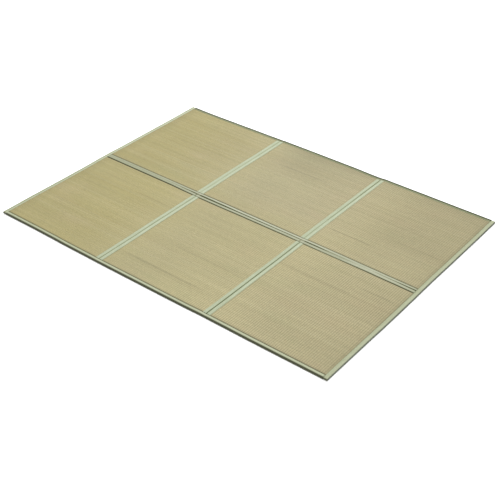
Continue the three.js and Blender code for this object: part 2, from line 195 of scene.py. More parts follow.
def ring_strip(name, sections, material, attributes=None, flip=False):
    """A closed strip: sections (stations, n, 3), each a closed ring. Its first half runs across one face
    and the second half back across the other, so that the ends close with a ladder of faces."""
    s, n = sections.shape[:2]
    a = np.arange(s - 1)[:, None] * n + np.arange(n)[None, :]
    b = np.arange(s - 1)[:, None] * n + (np.arange(n)[None, :] + 1) % n
    quads = np.stack([a, b, b + n, a + n], -1).reshape(-1, 4)
    half = n // 2
    i = np.arange(half - 1)
    cap = np.stack([i, n - 1 - i, n - 2 - i, i + 1], -1)
    last = (s - 1) * n
    quads = np.concatenate([quads, cap, last + cap[:, ::-1]])
    if flip:
        quads = quads[:, ::-1]
    return mesh_object(name, sections.reshape(-1, 3), quads, material, attributes=attributes)


# ---- node helpers ---------------------------------------------------------
class Tree:
    """Short calls for building a material's node tree."""

    def __init__(self, name):
        self.material = bpy.data.materials.new(name)
        self.material.use_nodes = True
        self.nodes, self.links = self.material.node_tree.nodes, self.material.node_tree.links
        self.nodes.clear()
        self.output = self.nodes.new("ShaderNodeOutputMaterial")
        self.shader = self.nodes.new("ShaderNodeBsdfPrincipled")
        self.links.new(self.shader.outputs[0], self.output.inputs[0])

    def set(self, socket, value):
        if isinstance(value, bpy.types.NodeSocket):
            self.links.new(value, socket)
        elif value is not None:
            socket.default_value = value

    def math(self, operation, a, b=None, c=None, clamp=False):
        node = self.nodes.new("ShaderNodeMath")
        node.operation, node.use_clamp = operation, clamp
        for k, value in enumerate((a, b, c)):
            self.set(node.inputs[k], value)
        return node.outputs[0]

    def place(self):
        split = self.nodes.new("ShaderNodeSeparateXYZ")
        texture = self.nodes.new("ShaderNodeTexCoord")
        self.links.new(texture.outputs["Object"], split.inputs[0])
        return texture.outputs["Object"], split.outputs[0], split.outputs[1], split.outputs[2]

    def join(self, x, y, z=0.0):
        node = self.nodes.new("ShaderNodeCombineXYZ")
        for k, value in enumerate((x, y, z)):
            self.set(node.inputs[k], value)
        return node.outputs[0]

    def white(self, vector=None, w=None, dimensions="2D"):
        node = self.nodes.new("ShaderNodeTexWhiteNoise")
        node.noise_dimensions = dimensions
        if vector is not None:
            self.set(node.inputs["Vector"], vector)
        if w is not None:
            self.set(node.inputs["W"], w)
        return node.outputs["Value"]

    def noise(self, vector, scale=1.0, detail=2.0, roughness=0.5, dimensions="3D"):
        node = self.nodes.new("ShaderNodeTexNoise")
        node.noise_dimensions = dimensions
        self.set(node.inputs["Vector"], vector)
        node.inputs["Scale"].default_value = scale
        node.inputs["Detail"].default_value = detail
        node.inputs["Roughness"].default_value = roughness
        return node.outputs[0]

    def ramp(self, value, low, high, to_low=0.0, to_high=1.0, kind="SMOOTHSTEP"):
        node = self.nodes.new("ShaderNodeMapRange")
        node.interpolation_type = kind
        for k, v in zip(("Value", "From Min", "From Max", "To Min", "To Max"), (value, low, high, to_low, to_high)):
            self.set(node.inputs[k], v)
        return node.outputs[0]

    def mix(self, factor, a, b, kind="MIX"):
        node = self.nodes.new("ShaderNodeMix")
        node.data_type, node.blend_type = "RGBA", kind
        self.set(node.inputs[0], factor)
        self.set(node.inputs[6], a if isinstance(a, bpy.types.NodeSocket) else (*a, 1))
        self.set(node.inputs[7], b if isinstance(b, bpy.types.NodeSocket) else (*b, 1))
        return node.outputs[2]

    def attribute(self, name):
        node = self.nodes.new("ShaderNodeAttribute")
        node.attribute_name = name
        return node.outputs["Fac"]

    def bump(self, height, distance, strength=1.0, normal=None):
        node = self.nodes.new("ShaderNodeBump")
        node.inputs["Strength"].default_value = strength
        node.inputs["Distance"].default_value = distance
        self.set(node.inputs["Height"], height)
        if normal is not None:
            self.set(node.inputs["Normal"], normal)
        return node.outputs[0]


# ---- woven rush -----------------------------------------------------------
RIB = 11.4          # from one warp line to the next, along X
STALK = 1.55        # from one rush stalk to the next, along Y


def rush_material():
    t = Tree("woven_rush")
    vector, x, y, z = t.place()
    mm_x, mm_y = t.math("MULTIPLY", x, 1000.0), t.math("MULTIPLY", y, 1000.0)
    # each stalk bends a little along its length
    sway = t.math("MULTIPLY", t.math("SUBTRACT", t.noise(t.join(t.math("MULTIPLY", x, 9.0), t.math("MULTIPLY", y, 60.0)), 1.0, 1.0), 0.5), 1.1)
    row_at = t.math("DIVIDE", t.math("ADD", mm_y, sway), STALK)
    row = t.math("FLOOR", row_at)
    across = t.math("SUBTRACT", row_at, row)
    rib_at = t.math("DIVIDE", mm_x, RIB)
    odd = t.math("MULTIPLY", t.math("MODULO", t.math("ABSOLUTE", row), 2.0), 0.10)
    shifted = t.math("ADD", rib_at, odd)
    rib = t.math("FLOOR", shifted)
    along = t.math("SUBTRACT", shifted, rib)
    # stalk roundness and the dip where it goes under a warp line
    round_ = t.math("SQRT", t.math("MAXIMUM", t.math("SUBTRACT", 1.0, t.math("POWER", t.math("MULTIPLY", t.math("SUBTRACT", across, 0.5), 2.0), 2.0)), 0.0))
    hump = t.math("SINE", t.math("MULTIPLY", along, math.pi))
    # the next two masks paint shade: between the stalks, and in the dip under each warp line
    gap = t.ramp(t.math("ABSOLUTE", t.math("SUBTRACT", across, 0.5)), 0.30, 0.5, 0.0, 1.0)
    tie_shade = t.ramp(hump, 0.0, 0.62, 1.0, 0.0)
    # how sharply the painted shade at the warp lines shows, about its own mean
    sharp = t.math("MULTIPLY", t.ramp(y, -0.15, 0.45, 0.57, 0.44), t.ramp(x, -0.2, 0.35, 0.75, 1.0))
    tie_shade = t.math("ADD", t.math("MULTIPLY", t.math("SUBTRACT", tie_shade, TIE_SHADE_MEAN), sharp), TIE_SHADE_MEAN)
    # colour of each stalk, of its length and of its fibres
    stalk_tone = t.white(t.join(row, 3.7))
    stalk_tone2 = t.white(t.join(row, 8.1))
    piece_tone = t.white(t.join(row, rib))
    fibre = t.noise(t.join(t.math("MULTIPLY", x, 60.0), t.math("MULTIPLY", y, 2600.0), 0.0), 1.0, 2.0, 0.6)
    streak = t.noise(t.join(t.math("MULTIPLY", x, 2.2), t.math("MULTIPLY", y, 62.0), 1.3), 1.0, 2.0, 0.55)
    broad = t.noise(t.join(t.math("MULTIPLY", x, 1.4), t.math("MULTIPLY", y, 4.5), 2.9), 1.0, 1.0, 0.5)
    left_to_middle = t.ramp(x, -0.62, -0.10)
    middle_to_right = t.ramp(x, 0.05, 0.72)
    colour = t.mix(left_to_middle, RUSH_LEFT, RUSH_MIDDLE)
    colour = t.mix(middle_to_right, colour, RUSH_RIGHT)
    colour = t.mix(t.math("MULTIPLY", stalk_tone, 0.34), colour, RUSH_GREEN)
    colour = t.mix(t.math("MULTIPLY", t.ramp(stalk_tone2, 0.62, 1.0), 0.36), colour, RUSH_PALE)
    colour = t.mix(t.math("MULTIPLY", t.ramp(piece_tone, 0.78, 1.0), 0.30), colour, RUSH_BROWN)
    light = t.math("ADD", 0.90, t.math("MULTIPLY", piece_tone, 0.17))
    light = t.math("MULTIPLY", light, t.ramp(fibre, 0.25, 0.75, 0.95, 1.05, "LINEAR"))
    light = t.math("MULTIPLY", light, t.ramp(streak, 0.30, 0.72, 1.030, 0.962))
    light = t.math("MULTIPLY", light, t.ramp(broad, 0.25, 0.75, 0.972, 1.028))
    # painted shade: the back panels lie a little darker, most towards the right; the next line darkens the rush towards
    # the right end
    light = t.math("MULTIPLY", light, t.math("SUBTRACT", 1.0, t.math("MULTIPLY", t.ramp(y, 0.0, 0.70, 0.0, 0.075), t.ramp(x, -0.45, 0.85, 0.25, 1.0))))
    light = t.math("MULTIPLY", light, t.ramp(x, 0.76, 0.99, 1.0, 0.95))
    hue = t.noise(t.join(t.math("MULTIPLY", x, 3.1), t.math("MULTIPLY", y, 6.4), 7.7), 1.0, 2.0, 0.5)
    colour = t.mix(t.ramp(hue, 0.52, 0.80, 0.0, 0.30), colour, RUSH_WARM)
    colour = t.mix(t.ramp(hue, 0.22, 0.46, 0.24, 0.0), colour, RUSH_GREEN)
    for cx, cy, half_x, half_y, depth in STREAKS:
        ux = t.math("ABSOLUTE", t.math("DIVIDE", t.math("SUBTRACT", x, cx), half_x))
        uy = t.math("ABSOLUTE", t.math("DIVIDE", t.math("SUBTRACT", y, cy), half_y))
        inside = t.math("MULTIPLY", t.ramp(ux, 0.5, 1.0, 1.0, 0.0), t.ramp(uy, 0.2, 1.0, 1.0, 0.0))
        light = t.math("MULTIPLY", light, t.math("SUBTRACT", 1.0, t.math("MULTIPLY", inside, depth)))
    for cx, cy, half_x, half_y, depth in BROAD:
        ux = t.math("ABSOLUTE", t.math("DIVIDE", t.math("SUBTRACT", x, cx), half_x))
        uy = t.math("ABSOLUTE", t.math("DIVIDE", t.math("SUBTRACT", y, cy), half_y))
        inside = t.math("MULTIPLY", t.ramp(ux, 0.0, 1.0, 1.0, 0.0), t.ramp(uy, 0.3, 1.0, 1.0, 0.0))
        light = t.math("MULTIPLY", light, t.math("SUBTRACT", 1.0, t.math("MULTIPLY", inside, depth)))
    # painted shade in the gaps between the stalks
    light = t.math("MULTIPLY", light, t.math("SUBTRACT", 1.0, t.math("MULTIPLY", gap, 0.30)))
    # painted shade in the dips under the warp lines, stronger to the right
    light = t.math("MULTIPLY", light, t.math("SUBTRACT", 1.0, t.math("MULTIPLY", tie_shade, t.ramp(x, -0.35, 0.62, TIE_SHADE_LEFT, TIE_SHADE_RIGHT))))
    # painted shade on the clamped, compressed rush beside the tapes
    edge = t.attribute("margin_shade")
    light = t.math("MULTIPLY", light, t.math("SUBTRACT", 1.0, edge))
    under = t.attribute("underside")
    light = t.math("MULTIPLY", light, t.math("SUBTRACT", 1.0, t.math("MULTIPLY", under, 0.12)))
    # the back row's left and middle panels are a little cooler
    cool = t.math("MULTIPLY", t.math("MULTIPLY", t.ramp(y, -0.05, 0.25), t.ramp(x, -0.85, -0.55)), t.ramp(x, 0.15, 0.60, 0.085, 0.0))
    tint = t.nodes.new("ShaderNodeCombineColor")
    t.set(tint.inputs[0], light)
    t.set(tint.inputs[1], light)
    t.set(tint.inputs[2], t.math("MULTIPLY", light, t.math("ADD", cool, 1.0)))
    colour = t.mix(1.0, colour, tint.outputs[0], "MULTIPLY")
    t.set(t.shader.inputs["Base Color"], colour)
    t.set(t.shader.inputs["Roughness"], t.ramp(fibre, 0.2, 0.8, 0.62, 0.80, "LINEAR"))
    t.shader.inputs["Specular IOR Level"].default_value = 0.28
    height = t.math("ADD", t.math("MULTIPLY", round_, t.math("ADD", 0.42, t.math("MULTIPLY", hump, 0.58))), t.math("MULTIPLY", stalk_tone, 0.22))
    normal = t.bump(height, 0.00042, 0.75)
    normal = t.bump(fibre, 0.00005, 0.5, normal)
    t.set(t.shader.inputs["Normal"], normal)
    return t.material


# ---- binding cloth --------------------------------------------------------
def cloth_material(name, base, pale, worn, turned, dark):
    t = Tree(name)
    vector, x, y, z = t.place()
    run, cross = t.attribute("run"), t.attribute("cross")      # millimetres along and across the tape
    shade, side = t.attribute("shade"), t.attribute("side")
    pitch = 0.85
    u, v = t.math("DIVIDE", run, pitch), t.math("DIVIDE", cross, pitch * 0.8)
    iu, iv = t.math("FLOOR", u), t.math("FLOOR", v)
    fu, fv = t.math("SUBTRACT", u, iu), t.math("SUBTRACT", v, iv)
    over = t.math("MODULO", t.math("ABSOLUTE", t.math("ADD", iu, iv)), 2.0)
    hu = t.math("SINE", t.math("MULTIPLY", fu, math.pi))
    hv = t.math("SINE", t.math("MULTIPLY", fv, math.pi))
    warp = t.math("MULTIPLY", hv, t.math("ADD", 0.45, t.math("MULTIPLY", over, 0.55)))
    weft = t.math("MULTIPLY", hu, t.math("SUBTRACT", 1.0, t.math("MULTIPLY", over, 0.55)))
    weave = t.math("MAXIMUM", warp, weft)
    thread_u, thread_v = t.white(t.join(iu, 11.0)), t.white(t.join(iv, 5.0))
    tone = t.noise(t.join(t.math("MULTIPLY", run, 0.011), t.math("MULTIPLY", cross, 0.07), z), 1.0, 3.0, 0.55)
    wear = t.noise(t.join(t.math("MULTIPLY", run, 0.09), t.math("MULTIPLY", cross, 0.16), 4.0), 1.0, 3.0, 0.6)
    colour = t.mix(t.math("MULTIPLY", thread_u, 0.35), base, pale)
    colour = t.mix(t.math("MULTIPLY", t.ramp(thread_v, 0.5, 1.0), 0.30), colour, pale)
    colour = t.mix(t.math("MULTIPLY", t.ramp(wear, 0.52, 0.78), 0.45), colour, worn)
    # darker in the hollows of the weave: painted shade
    light = t.ramp(weave, 0.15, 1.0, 0.86, 1.04, "LINEAR")
    light = t.math("MULTIPLY", light, t.ramp(tone, 0.28, 0.72, 0.955, 1.035))
    # painted shade from the shade attribute, tinted olive as it deepens
    light = t.math("MAXIMUM", t.math("MULTIPLY", light, shade), 0.02)
    tint = t.nodes.new("ShaderNodeCombineColor")
    t.set(tint.inputs[0], light)
    t.set(tint.inputs[1], t.math("POWER", light, 0.95))
    t.set(tint.inputs[2], t.math("POWER", light, 1.32))
    colour = t.mix(1.0, colour, tint.outputs[0], "MULTIPLY")
    # painted shade where the cloth turns down the edge: side mixes in the turned colour, deep the dark one
    colour = t.mix(side, colour, turned)
    colour = t.mix(t.attribute("deep"), colour, dark)
    t.set(t.shader.inputs["Base Color"], colour)
    t.set(t.shader.inputs["Roughness"], t.ramp(weave, 0.1, 1.0, 0.82, 0.66, "LINEAR"))
    t.shader.inputs["Specular IOR Level"].default_value = 0.25
    t.shader.inputs["Sheen Weight"].default_value = 0.12
    t.shader.inputs["Sheen Roughness"].default_value = 0.5
    normal = t.bump(weave, 0.00016, 0.8)
    normal = t.bump(wear, 0.0006, 0.35, normal)
    t.set(t.shader.inputs["Normal"], normal)
    return t.material


def thread_material(name, colour_a, colour_b):
    t = Tree(name)
    vector, x, y, z = t.place()
    twist = t.math("SINE", t.math("MULTIPLY", t.math("ADD", t.math("ADD", x, y), t.math("MULTIPLY", z, 1.6)), 2 * math.pi / 0.0009))
    fuzz = t.noise(vector, 900.0, 2.0, 0.5)
    colour = t.mix(t.ramp(twist, -1.0, 1.0, 0.0, 1.0), colour_a, colour_b)
    colour = t.mix(t.math("MULTIPLY", fuzz, 0.3), colour, colour_b)
    t.set(t.shader.inputs["Base Color"], colour)
    t.set(t.shader.inputs["Roughness"], t.ramp(fuzz, 0.2, 0.8, 0.6, 0.8, "LINEAR"))
    t.shader.inputs["Specular IOR Level"].default_value = 0.3
    t.set(t.shader.inputs["Normal"], t.bump(twist, 0.00012, 0.6))
    return t.material


# linear colours
RUSH_LEFT = (0.391, 0.337, 0.144)
RUSH_MIDDLE = (0.456, 0.404, 0.218)
RUSH_RIGHT = (0.466, 0.408, 0.236)
RUSH_GREEN = (0.370, 0.368, 0.188)
RUSH_PALE = (0.560, 0.505, 0.315)
RUSH_BROWN = (0.385, 0.295, 0.150)
RUSH_WARM = (0.480, 0.392, 0.232)
# painted shade in the dips at the warp lines: its share on the left, on the right, and its mean
TIE_SHADE_LEFT, TIE_SHADE_RIGHT, TIE_SHADE_MEAN = 0.27, 0.71, 0.203
# faint darker bands of rush: middle (m), half sizes (m), depth
STREAKS = [
    (-0.030, -0.610, 0.300, 0.011, 0.15), (-0.030, 0.520, 0.190, 0.008, 0.17), (0.500, 0.172, 0.160, 0.007, 0.22),
    (0.820, 0.276, 0.180, 0.009, 0.09), (0.860, -0.145, 0.100, 0.007, 0.15), (0.560, -0.215, 0.260, 0.014, 0.07),
    (-0.600, 0.385, 0.260, 0.012, 0.07), (-0.480, -0.180, 0.150, 0.009, 0.09), (0.060, -0.420, 0.230, 0.010, 0.07),
    (-0.740, -0.470, 0.240, 0.011, 0.07),
]
# broad lighter and duller parts of the rush: middle (m), half sizes (m), depth
BROAD = [
    (-0.120, 0.0, 0.260, 3.0, 0.065), (0.390, 0.0, 0.270, 3.0, -0.060), (-0.850, -0.300, 0.260, 1.0, 0.045),
    (-0.080, 0.760, 0.330, 0.340, 0.080), (0.760, 0.480, 0.280, 0.520, 0.045),
]
TAPE_BASE = (0.418, 0.446, 0.302)
TAPE_PALE = (0.500, 0.528, 0.380)
TAPE_WORN = (0.570, 0.596, 0.450)
SEAM_BASE = (0.405, 0.450, 0.312)
SEAM_PALE = (0.490, 0.535, 0.392)
SEAM_WORN = (0.560, 0.600, 0.460)
# painted shade on the turned-down faces of the bindings: deep and middle
SIDE_SHADE_DARK = (0.057, 0.061, 0.028)
SIDE_SHADE_MID = (0.135, 0.152, 0.108)
# how deep in shade the centre tape's stitched edges are: place in m, near edge, far edge
STITCH_SHADE = [(-1.0033, 0.90, 0.76), (-0.760, 0.90, 0.84), (-0.460, 0.92, 0.96), (-0.230, 0.84, 0.95), (0.100, 0.80, 0.95),
                (0.400, 0.66, 0.93), (0.520, 0.44, 0.86), (0.620, 0.66, 0.93), (0.760, 0.84, 1.0), (1.0033, 0.88, 1.0)]
# how much the rush beside the centre tape's near edge is in shade: place in mm, share
NEAR_MARGIN = [(-1003.3, 0.84), (-230, 0.80), (100, 0.76), (400, 0.64), (520, 0.50), (620, 0.60), (760, 0.70), (1003.3, 0.80)]
# painted shade and light along the centre tape's length, how bright it lies: place in m, tone
CENTRE_SHADE = [(-1.0033, 0.76), (-0.760, 0.75), (-0.520, 0.83), (-0.400, 0.90), (-0.230, 0.97), (0.100, 0.98), (0.400, 0.94), (0.520, 0.89),
               (0.600, 0.92), (0.760, 0.99), (0.880, 0.96), (1.0033, 0.90)]

rush = rush_material()
cloth_edge = cloth_material("binding_cloth_edge", TAPE_BASE, TAPE_PALE, TAPE_WORN, SIDE_SHADE_MID, SIDE_SHADE_DARK)
cloth_seam = cloth_material("binding_cloth_seam", SEAM_BASE, SEAM_PALE, SEAM_WORN, SIDE_SHADE_MID, SIDE_SHADE_DARK)
cloth_centre = cloth_material("binding_cloth_centre", *(tuple(c * k for c, k in zip(colour, (1.0, 0.93, 0.975))) for colour in (SEAM_BASE, SEAM_PALE, SEAM_WORN)), SIDE_SHADE_MID, SIDE_SHADE_DARK)
thread_dark = thread_material("thread_dark", (0.060, 0.070, 0.032), (0.105, 0.120, 0.060))
thread_pale = thread_material("thread_pale", (0.420, 0.480, 0.330), (0.560, 0.610, 0.450))


# ---- rush panels ----------------------------------------------------------
LINES = [-HALF_L, SEAM_1, SEAM_2, HALF_L]
COLUMNS = ["left", "middle", "right"]


def panel_height(distance, side, pinch):
    """Top and underside of a panel at a distance from a seam line or outer face."""
    a, b = side + SIDE_RUN, BAND + GAP
    knots = [side, a, b, b + PINCH_RUN, BAND + 160]
    top = np.interp(distance, knots, [SIDE_TOP, min(pinch, 10.4), pinch, RUSH_TOP - 0.2, RUSH_TOP])
    swell = smooth((distance - b) / PINCH_RUN)
    top = np.where((distance > b) & (distance < b + PINCH_RUN), pinch + (RUSH_TOP - 0.2 - pinch) * np.sqrt(swell), top)
    bottom = np.interp(distance, knots, [SIDE_BOTTOM, PINCH_BOTTOM, PINCH_BOTTOM, 0, 0])
    return top, bottom


def grid(a, b, outer_a, outer_b, ribs):
    """Stations from one side of a panel to the other."""
    side_a, side_b = (RIM if outer_a else HINGE_HALF), (RIM if outer_b else HINGE_HALF)
    start = [a + side_a, a + side_a + 3, a + side_a + SIDE_RUN, a + 15, a + BAND - 2]
    end = [b - BAND + 2, b - 15, b - side_b - SIDE_RUN, b - side_b - 3, b - side_b]
    swell_a = [a + BAND + GAP + d for d in (0, 1.5, 3.5, 6.0, 9.0, 12.0)]
    swell_b = [b - BAND - GAP - d for d in (12.0, 9.0, 6.0, 3.5, 1.5, 0)]
    if ribs:
        inner = np.arange(math.ceil((a + BAND + GAP) / ribs) * ribs, b - BAND - GAP, ribs)
        inner = [v for v in inner if a + BAND + GAP + 0.7 < v < b - BAND - GAP - 0.7]
        return np.array(start + [a + BAND + GAP] + inner + [b - BAND - GAP] + end)
    inner = list(np.linspace(a + BAND + GAP + 24, b - BAND - GAP - 24, 44))
    return np.array(start + swell_a + inner + swell_b + end)


def make_panel(c, row):
    x0, x1 = LINES[c], LINES[c + 1]
    y0, y1 = (-HALF_W, 0) if row == "front" else (0, HALF_W)
    xs = grid(x0, x1, c == 0, c == 2, RIB / 8)
    ys = grid(y0, y1, row == "front", row == "back", 0)
    X, Y = np.meshgrid(xs, ys)
    sides = [(X - x0, RIM if c == 0 else HINGE_HALF), (x1 - X, RIM if c == 2 else HINGE_HALF),
             (Y - y0, RIM if row == "front" else HINGE_HALF), (y1 - Y, RIM if row == "back" else HINGE_HALF)]
    heights = [panel_height(d, s, p) for (d, s), p in zip(sides, (11.15, 11.15, PINCH_TOP, PINCH_TOP))]
    top = np.min([h[0] for h in heights], 0)
    bottom = np.max([h[1] for h in heights], 0)
    nearest = np.min([d for d, s in sides], 0)
    # weave: ribs between the warp lines, and the slight unevenness of hand-laid rush
    phase = X / RIB
    ribs = 0.5 * np.abs(np.sin(np.pi * phase)) ** 0.8
    inside = smooth((nearest - BAND - GAP) / 8.0)
    top = top + inside * (ribs - 0.42) + inside * 0.14 * spread(X, Y, 5, 26, 9) + inside * 0.22 * spread(X, Y, 9, 240, 46)
    top = np.minimum(top, THICKNESS + 0.1)
    # painted shade on the clamped, compressed rush beside the tapes, most along the long tapes
    shaded = [(X - x0, 0.22 if c == 0 else 0.16, 10.0), (x1 - X, 0.20 if c == 2 else 0.03, 20.0 if c == 2 else 11.0),
              (Y - y0, 0.74 if row == "front" else np.interp(X, [0, 500], [0.80, 0.66]), 7.0),
              (y1 - Y, np.interp(X, *zip(*NEAR_MARGIN)) if row == "front" else 0.04, 6.5)]
    # a wide band of painted shade along the back edge, and one along the left edge
    if row == "back":
        shaded.append((y1 - Y, 0.16 * smooth((X + 420) / 300) * (1 - 0.7 * smooth((X - 120) / 480)), 75.0))
    if c == 0:
        shaded.append((X - x0, 0.11, 65.0))
    margin_shade = np.max([k * np.clip(1 - (d - BAND - GAP) / w, 0, 1) ** 1.1 for d, k, w in shaded], 0)
    # a painted highlight on the rush's slope next to the back tape
    if row == "back":
        margin_shade -= 0.10 * np.clip(1 - (y1 - Y - BAND - GAP) / 9.0, 0, 1)
    count = X.size
    upper = place(X.ravel(), Y.ravel(), top.ravel(), row)
    nx, ny = len(xs), len(ys)
    index = np.arange(count).reshape(ny, nx)
    quads = np.stack([index[:-1, :-1], index[:-1, 1:], index[1:, 1:], index[1:, :-1]], -1).reshape(-1, 4)
    # underside: coarser along X in the middle, joined to the rim by fans
    keep = np.zeros(nx, bool)
    keep[:6] = keep[-6:] = True
    keep[6:-6:4] = True
    kx = np.nonzero(keep)[0]
    low = place(X[:, kx].ravel(), Y[:, kx].ravel(), bottom[:, kx].ravel(), row)
    nk = len(kx)
    lindex = count + np.arange(ny * nk).reshape(ny, nk)
    lquads = np.stack([lindex[:-1, :-1], lindex[1:, :-1], lindex[1:, 1:], lindex[:-1, 1:]], -1).reshape(-1, 4)
    faces = [tuple(q) for q in quads] + [tuple(q) for q in lquads]
    for j in (0, ny - 1):
        for k in range(nk - 1):
            tops = list(index[j, kx[k]:kx[k + 1] + 1])
            face = [lindex[j, k], lindex[j, k + 1]] + tops[::-1]
            faces.append(tuple(face) if j == 0 else tuple(face[::-1]))
    for k, i in ((0, 0), (nk - 1, nx - 1)):
        for j in range(ny - 1):
            face = [index[j, i], index[j + 1, i], lindex[j + 1, k], lindex[j, k]]
            faces.append(tuple(face) if k == 0 else tuple(face[::-1]))
    name = f"rush_{row}_{COLUMNS[c]}"
    mesh = bpy.data.meshes.new(name)
    all_points = np.concatenate([upper, low]) * 0.001
    mesh.from_pydata(all_points.tolist(), [], [tuple(int(v) for v in f) for f in faces])
    mesh.update()
    mesh.polygons.foreach_set("use_smooth", np.full(len(mesh.polygons), True))
    for key, values in (("margin_shade", np.concatenate([margin_shade.ravel(), np.zeros(len(low))])),
                        ("underside", np.concatenate([np.zeros(count), np.ones(len(low))]))):
        attribute = mesh.attributes.new(key, "FLOAT", "POINT")
        attribute.data.foreach_set("value", values.astype(np.float32))
    obj = bpy.data.objects.new(name, mesh)
    bpy.context.scene.collection.objects.link(obj)
    obj.data.materials.append(rush)
    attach(obj, "root")
    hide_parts(f"rush_panel_{row}_{COLUMNS[c]}")
    return obj


panels = [make_panel(c, row) for row in ("front", "back") for c in range(3)]


# ---- tape sections --------------------------------------------------------
def resample(points, spacing):
    """A polyline's points at even spacing, its corners rounded by a spline through them."""
    points = np.asarray(points, float)
    fine = []
    padded = np.vstack([2 * points[0] - points[1], points, 2 * points[-1] - points[-2]])
    for i in range(1, len(padded) - 2):
        p0, p1, p2, p3 = padded[i - 1:i + 3]
        for t in np.linspace(0, 1, 12, endpoint=False):
            fine.append(0.5 * (2 * p1 + (p2 - p0) * t + (2 * p0 - 5 * p1 + 4 * p2 - p3) * t * t + (3 * p1 - p0 - 3 * p2 + p3) * t ** 3))
    fine.append(points[-1])
    fine = np.array(fine)
    along = np.concatenate([[0], np.cumsum(np.hypot(*np.diff(fine, axis=0).T))])
    n = max(2, int(round(along[-1] / spacing)) + 1)
    at = np.linspace(0, along[-1], n)
    return np.stack([np.interp(at, along, fine[:, k]) for k in (0, 1)], -1)


def even(points, n):
    along = np.concatenate([[0], np.cumsum(np.hypot(*np.diff(points, axis=0).T))])
    at = np.linspace(0, along[-1], n)
    return np.stack([np.interp(at, along, points[:, k]) for k in (0, 1)], -1), at


# the edge binding's outer face, d in from the mat's outer face; its cut edge is turned in and stitched down
FOOT_OUT = [(0, 6.2), (0.05, 3.2), (0.35, 1.2), (1.3, 0.15), (4.0, 0.03), (21, 0)]
FOOT_IN = [(1.0, 6.3), (1.05, 3.6), (1.5, 1.9), (2.8, 1.08), (21, 1.0)]
PROFILES = {
    # long tapes, stitched down hard: the front one rolls over, the back one keeps a full outer edge
    "front": ([(21.0, 10.7), (20.2, 11.2), (17.2, 12.25), (12, 12.7), (7.4, 12.45), (3.4, 11.2), (1.0, 8.9)] + FOOT_OUT,
              [(21.0, 10.15), (17.4, 11.0), (12, 11.65), (7.6, 11.4), (4.0, 10.3), (1.9, 8.4)] + FOOT_IN),
    "back": ([(21.0, 10.7), (20.2, 11.1), (17.0, 11.95), (11, 12.5), (6.0, 12.7), (2.2, 12.45), (0.7, 11.5), (0.1, 9.6)] + FOOT_OUT,
             [(21.0, 10.15), (17.4, 10.8), (11, 11.45), (6.4, 11.6), (3.0, 11.3), (1.7, 10.4), (1.1, 8.9)] + FOOT_IN),
    # side tapes, flatter beside the rush
    "left": ([(21.0, 11.5), (20.2, 11.8), (17.2, 12.4), (12, 12.7), (6.0, 12.65), (2.3, 12.25), (0.7, 11.1), (0.1, 9.3)] + FOOT_OUT,
             [(21.0, 10.7), (17.4, 11.3), (12, 11.65), (6.4, 11.6), (3.1, 11.1), (1.7, 10.1), (1.1, 8.7)] + FOOT_IN),
    "right": ([(21.0, 11.5), (20.2, 11.8), (17.2, 12.4), (12, 12.7), (6.6, 12.6), (2.7, 11.8), (0.6, 9.8)] + [(0, 6.2), (0, 3.0), (0.1, 0.9), (0.7, 0.08), (4.0, 0.03), (21, 0)],
              [(21.0, 10.7), (17.4, 11.3), (12, 11.65), (6.8, 11.55), (3.5, 10.8), (1.7, 9.1)] + FOOT_IN),
}


def edge_profile(which):
    outer, inner = PROFILES[which]
    outer, at = even(resample(outer, 0.5), 32)
    inner, _ = even(resample(inner, 0.5), 32)
    return outer, inner, at


def cloth_waves(along, seed, size=1.0):
    """Small swells of a stuffed tape along its length."""
    return size * (0.30 * wander(along, seed, 34) + 0.16 * wander(along, seed + 1, 11) + 0.35 * wander(along, seed + 2, 160))


# where the cloth's face lies under each line of stitches: places along the tape and heights
SEATS = {}
STITCH_IN = 19.1


def finish_tape(obj, node):
    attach(obj, "root")
    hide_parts(node)
    return obj


